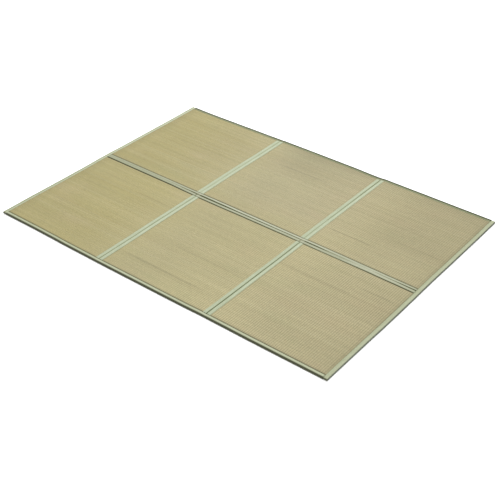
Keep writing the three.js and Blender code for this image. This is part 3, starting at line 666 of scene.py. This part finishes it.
def edge_tape(name, node, axis, sign, start, stop, material, seed, stitched, tone, deep, turned, along, ends=False, turned_share=((-1100, 1.0), (1100, 1.0))):
    """A binding folded round one edge of the mat, along X or Y."""
    outer, inner, cross = edge_profile({"x": {-1: "front", 1: "back"}, "y": {-1: "left", 1: "right"}}[axis][sign])
    step = 6.0
    n = int(round((stop - start) / step))
    at = np.linspace(start, stop, n + 1)
    if ends:
        extra = np.array([0, 0.5, 1.2, 2.2, 3.6, 5.2, 7.2, 9.6, 12.2])
        at = np.unique(np.concatenate([start + extra, at[(at > start + 13) & (at < stop - 13)], stop - extra]))
    sections, runs, crosses, shades, sides, deeps = [], [], [], [], [], []
    seat = []
    for a in at:
        o, i = outer.copy(), inner.copy()
        swell = float(cloth_waves(a, seed))
        top = np.clip((o[:, 1] - 9.0) / 3.7, 0, 1)
        top_i = np.clip((i[:, 1] - 8.6) / 3.0, 0, 1)
        # a slight dip where a seam meets the tape
        if axis == "x":
            dip = sum(math.exp(-((a - s) / 9.0) ** 2) for s in (SEAM_1, SEAM_2))
        else:
            dip = math.exp(-(a / 9.0) ** 2)
        o[:, 1] += top * (0.28 * swell - 0.5 * dip)
        i[:, 1] += top_i * (0.28 * swell - 0.5 * dip)
        nose = np.clip(1 - o[:, 0] / 6.0, 0, 1)
        nose_i = np.clip(1 - (i[:, 0] - 1.0) / 6.0, 0, 1)
        push = 0.45 * (0.5 + 0.5 * float(wander(a, seed + 7, 60)))
        o[:, 0] += nose * push
        i[:, 0] += nose_i * push
        if ends:
            e = min(a - start, stop - a)
            low = float(np.interp(e, [0, 1.1, 2, 4, 6, 9, 12], [5.0, 2.9, 1.9, 0.7, 0.15, 0, 0]))
            high = float(np.interp(e, [0, 1.1, 2, 4, 6, 9, 12], [7.6, 9.4, 10.3, 11.5, 12.2, 12.6, 13.4]))
            inset = float(np.interp(e, [0, 1.1, 3], [1.6, 0.5, 0]))
            o[:, 1] = np.clip(o[:, 1], low, high)
            o[:, 0] = np.maximum(o[:, 0], inset)
            # the fold is drawn shut at its very end, past the rush
            slot = float(np.interp(e, [0, 1.1, 1.6, 2.2, 3.0], [0.03, 0.05, 0.32, 1.2, 9.0]))
            i[:, 1] = np.clip(i[:, 1], max(min(low + 0.9, 6.2), 6.2 - slot), min(max(high - 0.9, 6.4), 6.2 + slot))
            i[:, 0] = np.maximum(i[:, 0], inset + 1.0)
        seat.append(np.interp(-STITCH_IN, -o[:8, 0], o[:8, 1]))
        ring = np.vstack([o, i[::-1]])
        if axis == "x":
            row = "front" if sign < 0 else "back"
            pts = place(np.full(len(ring), a), sign * (HALF_W - ring[:, 0]), ring[:, 1], row)
        else:
            pts = place(sign * (HALF_L - ring[:, 0]), np.full(len(ring), a), ring[:, 1])
        sections.append(pts)
        runs.append(np.full(len(ring), a))
        crosses.append(np.concatenate([cross, cross[::-1]]))
        # painted shade: darker towards the stitched edge, and by tone across the tape and along its length; side and
        # deep: how much painted shade lies on the turned-down face
        d, z = ring[:, 0], ring[:, 1]
        stitch_shade_mask = np.clip((d - 16.2) / 4.6, 0, 1) * (z > 5)
        level = np.interp(d, [k for k, v in tone], [v for k, v in tone]) * np.interp(a, [k for k, v in along], [v for k, v in along])
        soil = 0.07 * (0.5 + 0.5 * wander(a + d * 3, seed + 11, 19))
        shades.append((1.0 - stitched * stitch_shade_mask) * level - soil)
        low_face = 1 - smooth((z - 4.5) / 2.5)
        in_deep = np.maximum(1 - smooth((d - deep[0]) / (deep[1] - deep[0])), low_face * deep[2]) * np.interp(a, *zip(*turned_share))
        in_turn = np.maximum(1 - smooth((d - turned[0]) / (turned[1] - turned[0])), low_face)
        if ends:
            # the end that closes the corner is in the same shade as the long binding beside it
            in_deep = np.maximum(in_deep, (1 - smooth((a - start - 2.2) / 3.6)) * 0.92)
            in_deep = np.maximum(in_deep, (1 - smooth((stop - a - 1.5) / 3.0)) * 0.5)
        deeps.append(np.clip(in_deep, 0, 1))
        sides.append(np.clip(in_turn, 0, 1))
    sections = np.array(sections)
    attributes = {"run": np.array(runs).ravel(), "cross": np.array(crosses).ravel(), "shade": np.array(shades).ravel(), "side": np.array(sides).ravel(), "deep": np.array(deeps).ravel()}
    SEATS[name] = (at, np.array(seat))
    obj = ring_strip(name, sections, material, attributes, flip=(axis == "x") == (sign > 0))
    return finish_tape(obj, node)


def seam_profile(sink, open_, deep_edge):
    """Outer face of a seam tape across its width, from +BAND to -BAND."""
    edge = [(21.0, 10.75), (20.0, 11.35), (17.0, 12.3)] if deep_edge else [(21.0, 11.5), (20.0, 11.85), (17.0, 12.4)]
    half = edge + [ (12.0, 12.7), (open_ + 3.0, 12.6), (open_ + 0.8, 12.25), (open_ * 0.45, 12.7 - sink * 0.72)]
    top = half + [(0, 12.7 - sink)] + [(-d, z) for d, z in half[::-1]]
    return np.array(top)


def seam_tape(name, node, axis, at_line, start, stop, fold_of, row, material, seed, long_seam, kinks=()):
    step = 6.0 if axis == "x" else 5.0
    at = np.linspace(start, stop, int(round((stop - start) / step)) + 1)
    at = np.unique(np.concatenate([start + np.array([0, 1.5, 3.2]), at[(at > start + 4) & (at < stop - 4)], stop - np.array([0, 1.5, 3.2])]))
    n = 44
    sections, runs, crosses, shades, sides, seat = [], [], [], [], [], []
    # painted shade along the centre tape's length
    level = np.interp(at, [1000 * k for k, v in CENTRE_SHADE], [v for k, v in CENTRE_SHADE]) if long_seam else 0 * at + 0.97
    for a, tone in zip(at, level):
        sink, open_ = fold_of(a)
        knots = seam_profile(sink, open_, long_seam)
        fine = resample(knots, 0.4)
        o, cross = even(fine, n)
        swell_a = float(cloth_waves(a, seed))
        swell_b = float(cloth_waves(a, seed + 20))
        blend_ab = smooth((o[:, 0] + 4) / 8)
        swell = swell_a * blend_ab + swell_b * (1 - blend_ab)
        bulge = np.clip((o[:, 1] - 10.9) / 1.8, 0, 1)
        dip = sum(math.exp(-((a - k) / 8.0) ** 2) for k in kinks)
        o[:, 1] += bulge * (0.22 * swell - 0.6 * dip)
        # each end is drawn down to the rush beside the tape that it meets
        o[:, 1] = np.minimum(o[:, 1], np.interp(min(a - start, stop - a), [0, 1.5, 3.2, 6, 10], [11.15, 11.6, 12.05, 12.55, 13.4]))
        seat.append([np.interp(side * STITCH_IN, o[::-1, 0], o[::-1, 1]) for side in (-1, 1)])
        slope = np.gradient(o[:, 1], o[:, 0])
        thick = np.minimum(0.85 * np.sqrt(1 + slope ** 2), 2.4)
        i = o.copy()
        i[:, 1] -= thick
        ring = np.vstack([o, i[::-1]])
        if axis == "x":
            pts = place(np.full(len(ring), a), ring[:, 0], ring[:, 1])
        else:
            pts = place(at_line + ring[:, 0], np.full(len(ring), a), ring[:, 1], row)
        sections.append(pts)
        runs.append(np.full(len(ring), a))
        crosses.append(np.concatenate([cross, cross[::-1]]))
        # painted shade by the stitched edges and in the crease of the fold
        d = np.abs(ring[:, 0])
        deeper = smooth((-300 - a) / 300)
        near, far = (np.interp(a / 1000, [row[0] for row in STITCH_SHADE], [row[k] for row in STITCH_SHADE]) for k in (1, 2))
        strength = np.where(ring[:, 0] < 0, near, far) if long_seam else 0.06
        farther = smooth((a - 560) / 160)
        reach = np.where(ring[:, 0] < 0, 15.4 - 4.0 * deeper - 1.4 * smooth((a + 330) / 80) * smooth((330 - a) / 90), 15.4 - 2.4 * farther) if long_seam else 16.2
        stitch_shade_mask = np.clip((d - reach) / (20.6 - reach), 0, 1)
        gain, wide = (0.36 + 0.26 * math.exp(-((a + 230) / 110) ** 2) + 0.34 * smooth((a - 850) / 90), float(np.interp(a, [-230, 100, 400], [0.92, 0.55, 0.70]))) if long_seam else (0.30, 0.6)
        # the fold's two cheeks catch the light unequally
        if long_seam:
            middle = smooth((a + 560) / 160) * smooth((680 - a) / 120)
            far_part = smooth((a + 330) / 120) * smooth((620 - a) / 90)
            cheek = 1 - 0.08 * middle * np.exp(-((ring[:, 0] + 9.5) / 4.5) ** 2) + 0.13 * far_part * np.exp(-((ring[:, 0] - 11.0) / 3.4) ** 2)
            cheek = cheek - (0.11 * math.exp(-((a - 520) / 60) ** 2) + 0.10 * smooth((a - 850) / 90)) * np.exp(-((ring[:, 0] + 1) / 7.0) ** 2)
        else:
            outward = smooth((a + 660) / 300)
            left_part = 1.0 if at_line < 0 else 0.25
            cheek = 1 + outward * (0.055 * left_part * np.exp(-((ring[:, 0] + 14) / 4.5) ** 2) + 0.105 * np.exp(-((ring[:, 0] - 13) / 4.5) ** 2))
        # painted shade in the crease, deeper where the fold sinks
        crease = np.clip(1 - d / (2.6 + wide * sink), 0, 1) ** (0.8 if long_seam else 1.0) * min(0.96, max(0.06, gain * (sink - 0.6)))
        side_of = np.where(ring[:, 0] < 0, 1.0, 0.45)
        # painted shade just by each kink where the centre tape crosses a cross tape, a painted highlight around it, and
        # the crease's shade faded there
        near_kink = side_of * sum(math.exp(-((a - k + 5) / 3.4) ** 2) for k in kinks)
        by_kink = sum(math.exp(-((a - k) / 15.0) ** 4) for k in kinks)
        soil = 0.06 * (0.5 + 0.5 * wander(a + d * 3, seed + 11, 19))
        fade = 1 - 0.55 * by_kink
        shades.append((1.0 - strength * fade * stitch_shade_mask) * (1.0 - crease * fade) * tone * cheek * (1 + 0.08 * by_kink) * (1 - 0.62 * near_kink) - soil)
        sides.append(np.zeros(len(ring)))
    sections = np.array(sections)
    attributes = {"run": np.array(runs).ravel(), "cross": np.array(crosses).ravel(), "shade": np.array(shades).ravel(), "side": np.array(sides).ravel()}
    for k, side in enumerate(("near", "far")):
        SEATS[f"{name}_{side}"] = (at, np.array(seat)[:, k])
    obj = ring_strip(name, sections, material, attributes, flip=axis != "x")
    return finish_tape(obj, node)


def under_tape(name, node, axis, at_line, start, stop, row, material, seed):
    """The seam tape on the underside, flat on the floor with a low crease."""
    step = 12.0
    at = np.linspace(start, stop, int(round((stop - start) / step)) + 1)
    sections, runs, crosses, shades, sides = [], [], [], [], []
    d = np.linspace(BAND, -BAND, 22)
    for a in at:
        crease = np.exp(-(d / 1.5) ** 2)
        lift = 0.10 * (0.5 + 0.5 * wander(a + d * 4, seed, 23))
        low = crease * 1.0 + lift * (1 - crease)
        ring = np.vstack([np.stack([d, low], -1), np.stack([d, low + 0.85], -1)[::-1]])
        if axis == "x":
            pts = place(np.full(len(ring), a), ring[:, 0], ring[:, 1])
        else:
            pts = place(at_line + ring[:, 0], np.full(len(ring), a), ring[:, 1], row)
        sections.append(pts)
        runs.append(np.full(len(ring), a))
        crosses.append(np.concatenate([d + BAND, (d + BAND)[::-1]]))
        shades.append(np.full(len(ring), 0.95))
        sides.append(np.zeros(len(ring)))
    sections = np.array(sections)
    attributes = {"run": np.array(runs).ravel(), "cross": np.array(crosses).ravel(), "shade": np.array(shades).ravel(), "side": np.array(sides).ravel()}
    obj = ring_strip(name, sections, material, attributes, flip=axis == "x")
    return finish_tape(obj, node)


# ---- stitches -------------------------------------------------------------
def stitch_run(name, path, radius, long_, gap, material, seed):
    """Small rounded stitches along a path of points (millimetres), joined into one mesh."""
    path = np.asarray(path, float)
    along = np.concatenate([[0], np.cumsum(np.linalg.norm(np.diff(path, axis=0), axis=1))])
    pitch = long_ + gap
    count = int(along[-1] // pitch)
    points, faces = [], []
    rng = np.random.default_rng(seed)
    around = 5
    profile = [(0.0, 0.30), (0.22, 0.85), (0.5, 1.0), (0.78, 0.85), (1.0, 0.30)]
    for k in range(count):
        s0 = along[-1] * 0.5 + (k - count / 2) * pitch
        jitter = rng.uniform(-0.15, 0.15)
        base = len(points)
        for t, r in profile:
            at = s0 + jitter + t * long_
            centre = np.array([np.interp(at, along, path[:, m]) for m in range(3)])
            ahead = np.array([np.interp(at + 0.5, along, path[:, m]) for m in range(3)]) - np.array([np.interp(at - 0.5, along, path[:, m]) for m in range(3)])
            ahead /= np.linalg.norm(ahead)
            side = np.cross(ahead, (0, 0, 1.0))
            side /= np.linalg.norm(side)
            rise = np.cross(side, ahead)
            lift = 0.35 * radius * math.sin(math.pi * t)
            for m in range(around):
                angle = 2 * math.pi * m / around
                points.append(centre + side * math.cos(angle) * radius * r + rise * (math.sin(angle) * radius * r * 0.8 + lift))
        for s in range(len(profile) - 1):
            for m in range(around):
                a, b = base + s * around + m, base + s * around + (m + 1) % around
                faces.append((a, a + around, b + around, b))
        faces.append(tuple(base + m for m in range(around)))
        top = base + (len(profile) - 1) * around
        faces.append(tuple(top + m for m in range(around))[::-1])
    mesh = bpy.data.meshes.new(name)
    mesh.from_pydata((np.array(points) * 0.001).tolist(), [], faces)
    mesh.update()
    mesh.polygons.foreach_set("use_smooth", np.full(len(mesh.polygons), True))
    obj = bpy.data.objects.new(name, mesh)
    bpy.context.scene.collection.objects.link(obj)
    obj.data.materials.append(material)
    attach(obj, "root")
    return obj


def path_x(seat, y, row=None, step=8.0):
    """A line of stitches along X on the cloth of a tape."""
    x = np.arange(-HALF_L + BAND + 3, HALF_L - BAND - 3, step)
    return place(x, np.full_like(x, y), np.interp(x, *SEATS[seat]) + 0.06, row)


def path_y(seat, x, start, stop, row=None, step=8.0):
    y = np.arange(start, stop, step)
    return place(np.full_like(y, x), y, np.interp(y, *SEATS[seat]) + 0.06, row)


# ---- the tapes ------------------------------------------------------------
ENDS = HALF_L - BAND - END_GAP
# the stitched strengths, the tone lists across each tape, the deep and turned ranges and the along lists paint shade
# and light on the bindings
edge_tape("tape_edge_front", "binding_front", "x", -1, -ENDS, ENDS, cloth_edge, 101, 0.68, [(0, 1.0), (21, 1.0)],
                           (3.5, 9.0, 1.0), (-2, -1), along=[(-1003, 0.93), (-600, 0.92), (-200, 1.0), (1003, 1.02)])
edge_tape("tape_edge_back", "binding_back", "x", 1, -ENDS, ENDS, cloth_edge, 131, 0.10, [(0, 0.10), (5, 0.12), (9, 0.15), (12, 0.23), (15, 0.42), (18, 0.76), (21, 1.10)],
                          (-0.5, 2.6, 0.9), (0, 5.5), along=[(-1003, 1.02), (-400, 0.98), (1003, 0.98)])
edge_tape("tape_edge_left", "binding_left", "y", -1, -HALF_W, HALF_W, cloth_edge, 161, 0.0, [(0, 0.52), (5, 0.60), (9, 0.68), (14, 0.88), (18, 1.10), (21, 1.18)],
                          (-2, -1, 0.2), (-2, -1), along=[(-749, 0.98), (-200, 1.01), (100, 1.12), (749, 1.14)], ends=True)
edge_tape("tape_edge_right", "binding_right", "y", 1, -HALF_W, HALF_W, cloth_edge, 191, 0.16, [(0, 1.0), (6, 1.0), (12, 0.93), (21, 0.90)],
                           (-0.6, 1.8, 1.0), (0.4, 3.6), along=[(-749, 0.97), (749, 0.94)], ends=True,
                           turned_share=[(-749, 0.62), (-250, 0.72), (0, 1.0), (749, 1.0)])


def centre_fold(a):
    return float(column(CENTRE, a, 4)), float(column(CENTRE, a, 5))


seam_tape("tape_centre", "centre_tape_top", "x", 0, -ENDS, ENDS, centre_fold, None, cloth_centre, 221, True, kinks=(SEAM_1, SEAM_2))
under_tape("tape_centre_under", "centre_tape_under", "x", 0, -ENDS, ENDS, None, cloth_centre, 251)
for which, line in ((1, SEAM_1), (2, SEAM_2)):
    for row in ("front", "back"):
        (os_, oo), (is_, io) = CROSS_FOLD[(which, row)]
        limits = (-(HALF_W - BAND - END_GAP), -(BAND + END_GAP)) if row == "front" else (BAND + END_GAP, HALF_W - BAND - END_GAP)

        def fold(a, os_=os_, oo=oo, is_=is_, io=io):
            t = (abs(a) - BAND) / (HALF_W - 2 * BAND)
            return is_ + (os_ - is_) * t, io + (oo - io) * t

        key = f"cross_{which}_{row}"
        seam_tape(f"tape_{key}", f"cross_tape_{which}_{row}_top", "y", line, *limits, fold, row, cloth_seam, 300 + 40 * which + (20 if row == "back" else 0), False)
        under_tape(f"tape_{key}_under", f"cross_tape_{which}_{row}_under", "y", line, *limits, row, cloth_seam, 500 + 40 * which + (20 if row == "back" else 0))

S_LONG, S_GAP, S_RADIUS = 4.2, 1.6, 0.5
for key, sign in (("front", -1), ("back", 1)):
    stitch_run(f"stitch_{key}", path_x(f"tape_edge_{key}", sign * (HALF_W - STITCH_IN), key), S_RADIUS, S_LONG, S_GAP, thread_dark, 11)
for key, sign in (("left", -1), ("right", 1)):
    stitch_run(f"stitch_{key}", path_y(f"tape_edge_{key}", sign * (HALF_L - STITCH_IN), -HALF_W + 14, HALF_W - 14), S_RADIUS, S_LONG, S_GAP, thread_pale, 12)
for key, side in (("near", -1), ("far", 1)):
    stitch_run(f"stitch_centre_{key}", path_x(f"tape_centre_{key}", side * STITCH_IN), S_RADIUS, S_LONG, S_GAP, thread_dark, 13)
for which, line in ((1, SEAM_1), (2, SEAM_2)):
    for row in ("front", "back"):
        limits = (-(HALF_W - BAND - 4), -(BAND + 4)) if row == "front" else (BAND + 4, HALF_W - BAND - 4)
        for side, hand, seat in ((-1, "left", "near"), (1, "right", "far")):
            key = f"cross_{which}_{row}_{hand}"
            path = path_y(f"tape_cross_{which}_{row}_{seat}", line + side * STITCH_IN, *limits, row)
            stitch_run(f"stitch_{key}", path, S_RADIUS, S_LONG, S_GAP, thread_pale, 14)

for which in (1, 2):
    for row in ("front", "back"):
        key = f"cross_{which}_{row}"

# ---- floor and light ------------------------------------------------------
floor_mesh = bpy.data.meshes.new("floor")
floor_mesh.from_pydata([(-14, -14, 0), (14, -14, 0), (14, 14, 0), (-14, 14, 0)], [], [(0, 1, 2, 3)])
floor = bpy.data.objects.new("floor", floor_mesh)
bpy.context.scene.collection.objects.link(floor)
floor.location.z = -0.0002
t = Tree("floor")
t.shader.inputs["Base Color"].default_value = (0.93, 0.93, 0.93, 1)
t.shader.inputs["Roughness"].default_value = 0.9
t.shader.inputs["Specular IOR Level"].default_value = 0.1
t.shader.inputs["Emission Color"].default_value = (1, 1, 1, 1)
t.shader.inputs["Emission Strength"].default_value = 0.38
floor.data.materials.append(t.material)

world = bpy.data.worlds.new("world")
bpy.context.scene.world = world
world.use_nodes = True
world.node_tree.nodes["Background"].inputs[0].default_value = (1.0, 1.0, 1.0, 1)
world.node_tree.nodes["Background"].inputs[1].default_value = 0.62


def area(name, where, target, size, power, colour=(1, 1, 1)):
    data = bpy.data.lights.new(name, "AREA")
    data.shape, data.size, data.energy, data.color = "SQUARE", size, power, colour
    light = bpy.data.objects.new(name, data)
    bpy.context.scene.collection.objects.link(light)
    light.location = where
    light.rotation_euler = (Vector(target) - Vector(where)).to_track_quat("-Z", "Y").to_euler()
    return light


area("key", (-5.4, 6.2, 10.0), (0, 0, 0), 4.2, 1230, (1.0, 0.99, 0.97))
area("fill", (2.6, -1.2, 4.6), (0, 0, 0), 4.0, 60, (0.97, 0.99, 1.0))

scene = bpy.context.scene
scene.view_settings.view_transform = "Standard"
scene.view_settings.look = "None"
scene.view_settings.exposure = 0
scene.view_settings.gamma = 1
